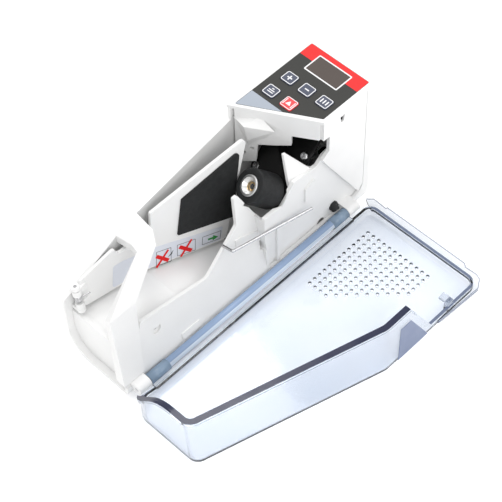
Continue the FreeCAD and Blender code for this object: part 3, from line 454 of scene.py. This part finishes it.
def key_symbols(name):
    """Symbol outlines of one key, relative to its middle."""
    bar = 0.45
    if name == "key_plus":
        return [rectangle(-2.0, 2.0, -bar, bar), rectangle(-bar, bar, -2.0, -bar),
                rectangle(-bar, bar, bar, 2.0)]
    if name == "key_minus":
        return [rectangle(-bar, bar, -1.7, 1.7)]
    if name == "key_add":
        return [rectangle(-1.6, -0.9, -2.4, 2.4), rectangle(0.0, 0.7, -2.4, 2.4),
                rectangle(1.6, 2.3, -0.9, 0.9)]
    if name == "key_batch":
        return [rectangle(-1.8, 1.8, side - 0.45, side + 0.45) for side in (-2.2, 0.0, 2.2)]
    return [[(-1.6, -2.0), (1.9, 0.0), (-1.6, 2.0)], rectangle(-2.7, 2.7, -3.5, -2.9),
            rectangle(-2.7, 2.7, 2.9, 3.5)]


def key_print(name, material):
    """Outline and symbol printed on a key, which travel with it."""
    x, y = KEYS[name]
    margin = 0.25
    line = 0.55

    def key_outline(inset, radius):
        half_x = KEY_SIZE[0] / 2 - inset
        half_y = KEY_SIZE[1] / 2 - inset
        return rounded(rectangle(x - half_x, x + half_x, y - half_y, y + half_y), radius)

    work = bmesh.new()
    flat_frame(work, key_outline(margin, 1.3), key_outline(margin + line, 0.8), KEY_TOP - PRINT, 2 * PRINT)
    for outline in key_symbols(name):
        flat_print(work, [(x + dx, y + dy) for dx, dy in outline], KEY_TOP)
    finish_piece(name + "_print", work, material, name)


# Label on the pressing plate

def plate_slab(work, outline, out):
    lower = [on_plate(x, z, out) for x, z in outline]
    upper = [on_plate(x, z, out + PRINT) for x, z in outline]
    add_slab(work, lower, upper)


def stripe(start, end, width):
    """Outline of a straight bar between two points."""
    run = (Vector(end) - Vector(start)).normalized() * (width / 2)
    side = Vector((-run.y, run.x))
    return [tuple(Vector(start) + side), tuple(Vector(start) - side), tuple(Vector(end) - side),
            tuple(Vector(end) + side)]


def label_print(inks):
    """Pictograms of how to place the notes: two ways crossed out and one marked right."""
    line = 0.35
    notes = [
        [(69.0, 49.0), (79.5, 46.0), (77.6, 34.6), (66.6, 37.6)],
        [(84.2, 44.6), (97.6, 40.8), (96.0, 31.6), (82.6, 35.6)],
        [(103.0, 38.6), (117.0, 34.8), (115.2, 28.6), (101.6, 32.4)],
    ]
    work = bmesh.new()
    for note in notes:
        for i in range(4):
            plate_slab(work, stripe(note[i], note[(i + 1) % 4], line), LABEL_THICK)
    plate_slab(work, [(76.0, 39.5), (81.0, 43.0), (79.0, 40.0)], LABEL_THICK + 2 * PRINT)
    finish_piece("label_notes", work, inks["dark"], "plate")
    work = bmesh.new()
    for start, end, width, layer in (
            ((68.2, 45.8), (75.9, 36.6), 2.7, 1), ((66.4, 36.4), (77.3, 45.6), 1.7, 2),
            ((85.4, 42.2), (93.4, 33.2), 2.7, 1), ((84.8, 33.4), (95.0, 42.6), 1.7, 2)):
        plate_slab(work, stripe(start, end, width), LABEL_THICK + layer * 2 * PRINT)
    finish_piece("label_crosses", work, inks["red_deep"], "plate")
    work = bmesh.new()
    plate_slab(work, [
        (106.6, 34.6), (110.4, 33.6), (110.8, 35.0), (114.2, 31.4), (109.6, 30.8), (110.0, 32.2),
        (106.2, 33.2),
    ], LABEL_THICK + PRINT)
    finish_piece("label_arrow", work, inks["green"], "plate")


# Feed roller's tyre

def feed_tyre(material):
    """Ground rubber tyre: rounded rims and fine ribs along the roller."""
    side = ROLLER_AXIS.cross(Vector((0, 0, 1))).normalized()
    up = side.cross(ROLLER_AXIS)
    rim = TYRE_RIM
    profile = [(ROLLER_BORE, 0.0, 0), (ROLLER_RADIUS - rim, 0.0, 0)]
    for step in range(1, 5):
        turn = math.radians(90 * step / 5)
        profile.append((ROLLER_RADIUS - rim + rim * math.sin(turn), rim - rim * math.cos(turn), 0))
    profile += [(ROLLER_RADIUS, rim, 0), (ROLLER_RADIUS, rim + 0.3, 1)]
    profile += [(radius, ROLLER_LENGTH - along, ribbed) for radius, along, ribbed in reversed(profile)]
    work = bmesh.new()
    steps = TYRE_RIBS * 4
    rings = []
    for radius, along, ribbed in profile:
        ring = []
        for step in range(steps):
            groove = TYRE_RIB_DEPTH if ribbed and step % 4 == 0 else 0.0
            angle = 2 * math.pi * step / steps
            spoke = (side * math.cos(angle) + up * math.sin(angle)) * (radius - groove)
            ring.append(work.verts.new(place(*(ROLLER_FACE + ROLLER_AXIS * along + spoke))))
        rings.append(ring)
    for here, there in zip(rings, rings[1:] + rings[:1]):
        for i in range(steps):
            j = (i + 1) % steps
            face = work.faces.new((here[i], here[j], there[j], there[i]))
            face.smooth = True
    tyre = finish_piece("ribbed_tyre", work, material, "roller")
    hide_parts("feed_roller_tyre")


# Cover's edges: painted shade and painted highlight

def cover_skin(name, material, chosen):
    """Thin layer over the faces of the cover that `chosen` picks by their middle, in mm, and normal."""
    source = nodes["cover"].data
    work = bmesh.new()
    work.from_mesh(source)
    drop = []
    for face in work.faces:
        middle = face.calc_center_median() / MM + CASE_CORNER
        if not chosen(middle, face.normal):
            drop.append(face)
    bmesh.ops.delete(work, geom=drop, context="FACES")
    bmesh.ops.remove_doubles(work, verts=work.verts, dist=0.002 * MM)
    for vertex in work.verts:
        vertex.co += vertex.normal * SKIN_LIFT * MM
    bmesh.ops.solidify(work, geom=work.faces[:], thickness=SKIN_LIFT * MM * 0.5)
    finish_piece(name, work, material, "cover")


# Opaque glossy colour for the skins of painted shade and painted highlight on the cover's edges
def tint_and_painted_light(name, colour):
    return plastic(name, colour, (0.10, 0.22), grain=0.0008, bump=0.000006)


def paint_cover_edge_light():
    """Painted shade on the cover's edges, where one looks along the thickness of the clear plastic, and a
    painted highlight on the lip's lower curl.
    """
    # Painted shade on the rim, lip core, knuckles and edges; painted highlight on the lip's pale lower
    # curl
    rim = tint_and_painted_light("rim_painted_shade", (0.018, 0.022, 0.055))
    core = tint_and_painted_light("lip_painted_shade", (0.27, 0.37, 0.55))
    curl = tint_and_painted_light("lip_painted_highlight", (0.58, 0.66, 0.78))
    knuckle = tint_and_painted_light("knuckle_painted_shade", (0.20, 0.28, 0.38))
    edge = tint_and_painted_light("edge_painted_shade", (0.13, 0.16, 0.24))

    margin = 0.2
    lip_start = KNUCKLES[0][1] + margin
    lip_end = KNUCKLES[1][0] - margin

    def on_barrel(at):
        """Whether a point is on the outside of the hinge's round edge."""
        reach = math.hypot(at.y, at.z - HINGE_Z)
        return BARREL_RADIUS - 0.15 < reach < BARREL_RADIUS + 0.1

    def on_rim(at, normal):
        clear_of_hinge = at.z > 12.0 or at.x < 4.0
        return at.z > BAND_LOW and at.x < BAND_END_X and normal.z > 0.35 and clear_of_hinge

    def on_core(at, normal):
        return lip_start < at.x < lip_end and on_barrel(at) and at.z > LIP_CROWN

    def on_curl(at, normal):
        # Band below the lip's crown that carries the painted highlight
        painted_highlight_band = LIP_FOOT < at.z <= LIP_CROWN and at.y < 0
        return lip_start < at.x < lip_end and on_barrel(at) and painted_highlight_band

    def on_knuckle(at, normal):
        along = any(start + margin < at.x < end - margin for start, end in KNUCKLES)
        return along and on_barrel(at)

    def on_flange(at, normal):
        outside = at.x > FLANGE_RIGHT or at.y < FLANGE_FRONT
        return FLANGE[0] < at.z < FLANGE[1] and abs(normal.z) < 0.3 and outside

    def on_tray_rim(at, normal):
        outside = (at.x > TRAY_RIGHT or at.y < TRAY_FRONT) and at.y < -7.0
        return normal.z > 0.9 and abs(at.z - TRAY_TOP) < 0.1 and outside

    # Skins of painted shade, and one of painted highlight on the lip's curl
    cover_skin("cover_rim_painted_shade", rim, on_rim)
    cover_skin("cover_core_painted_shade", core, on_core)
    cover_skin("cover_curl_painted_highlight", curl, on_curl)
    cover_skin("cover_knuckle_painted_shade", knuckle, on_knuckle)
    cover_skin("cover_flange_painted_shade", edge, on_flange)
    cover_skin("cover_tray_painted_shade", edge, on_tray_rim)


def flange_line(material):
    """Painted shade of the flange's dark outer edge round the tray, drawn as a fine line along its top."""
    route = [(219.4, -1.6), (222.9, -5.2), (222.4, -16.6), (223.6, -16.6), (223.6, -84.8), (221.5, -87.4),
             (222.0, -96.6), (220.4, -100.4), (214.0, -104.2), (176.6, -102.4)]
    width = 0.55
    work = bmesh.new()
    for start, end in zip(route, route[1:]):
        flat_print(work, stripe(start, end, width), FLANGE[1])
    finish_piece("flange_line", work, material, "cover")


# Latch pocket's painted shade

def latch_painted_shade(material):
    """Dark sheet behind the latch pocket's opening: painted shade where the hole lies in shadow."""
    outline = [(196.2, 104.7), (200.7, 104.7), (199.8, 99.0), (197.0, 99.0)]
    work = bmesh.new()
    near, far = [[place(x, y, z) for x, z in outline] for y in LATCH_SHADE_SHEET]
    add_slab(work, near, far)
    finish_piece("latch_painted_shade", work, material, "case")


# Cover's frosted panel

def cover_panel(material):
    """Frosted panel moulded on the pocket's outer wall, near its sloping end."""
    outline = [(140.4, 32.0), (150.4, 32.0), (166.4, 2.6), (137.6, 2.6)]
    work = bmesh.new()
    proud = []
    for out in PANEL_PROUD:
        proud.append([place(x, COVER_OUTER_Y + COVER_LEAN * z - out, z) for x, z in outline])
    add_slab(work, *proud)
    finish_piece("cover_panel", work, material, "cover")


materials = make_materials()
dress_nodes(materials)
nodes["feed_roller_hub"].data.materials[0] = metal("bright_alloy", (0.90, 0.90, 0.89), (0.30, 0.45))
inks = {
    "red": ink("ink_red", (0.88, 0.035, 0.035)),
    "red_deep": ink("ink_red_deep", (0.72, 0.005, 0.006)),
    "silver": ink("ink_silver", (0.38, 0.42, 0.48), (0.26, 0.34)),
    "white": ink("ink_white", (0.82, 0.82, 0.83), (0.30, 0.40)),
    "dark": ink("ink_dark", (0.05, 0.05, 0.06), (0.35, 0.45)),
    "green": ink("ink_green", (0.03, 0.30, 0.06), (0.30, 0.40)),
}
overlay_print(inks)
for key_name in KEYS:
    key_print(key_name, inks["white"])
label_print(inks)
feed_tyre(materials["black_rubber"])
paint_cover_edge_light()
# Fine line of painted shade on the flange's outer edge
flange_line(tint_and_painted_light("flange_painted_shade", (0.22, 0.25, 0.33)))
# Dark sheet of painted shade behind the latch opening
latch_painted_shade(materials["black_plastic"])
cover_panel(plastic("frosted_panel", (0.17, 0.21, 0.33), (0.35, 0.5), grain=0.0006, bump=0.00002))
make_floor()
make_studio()
make_camera()
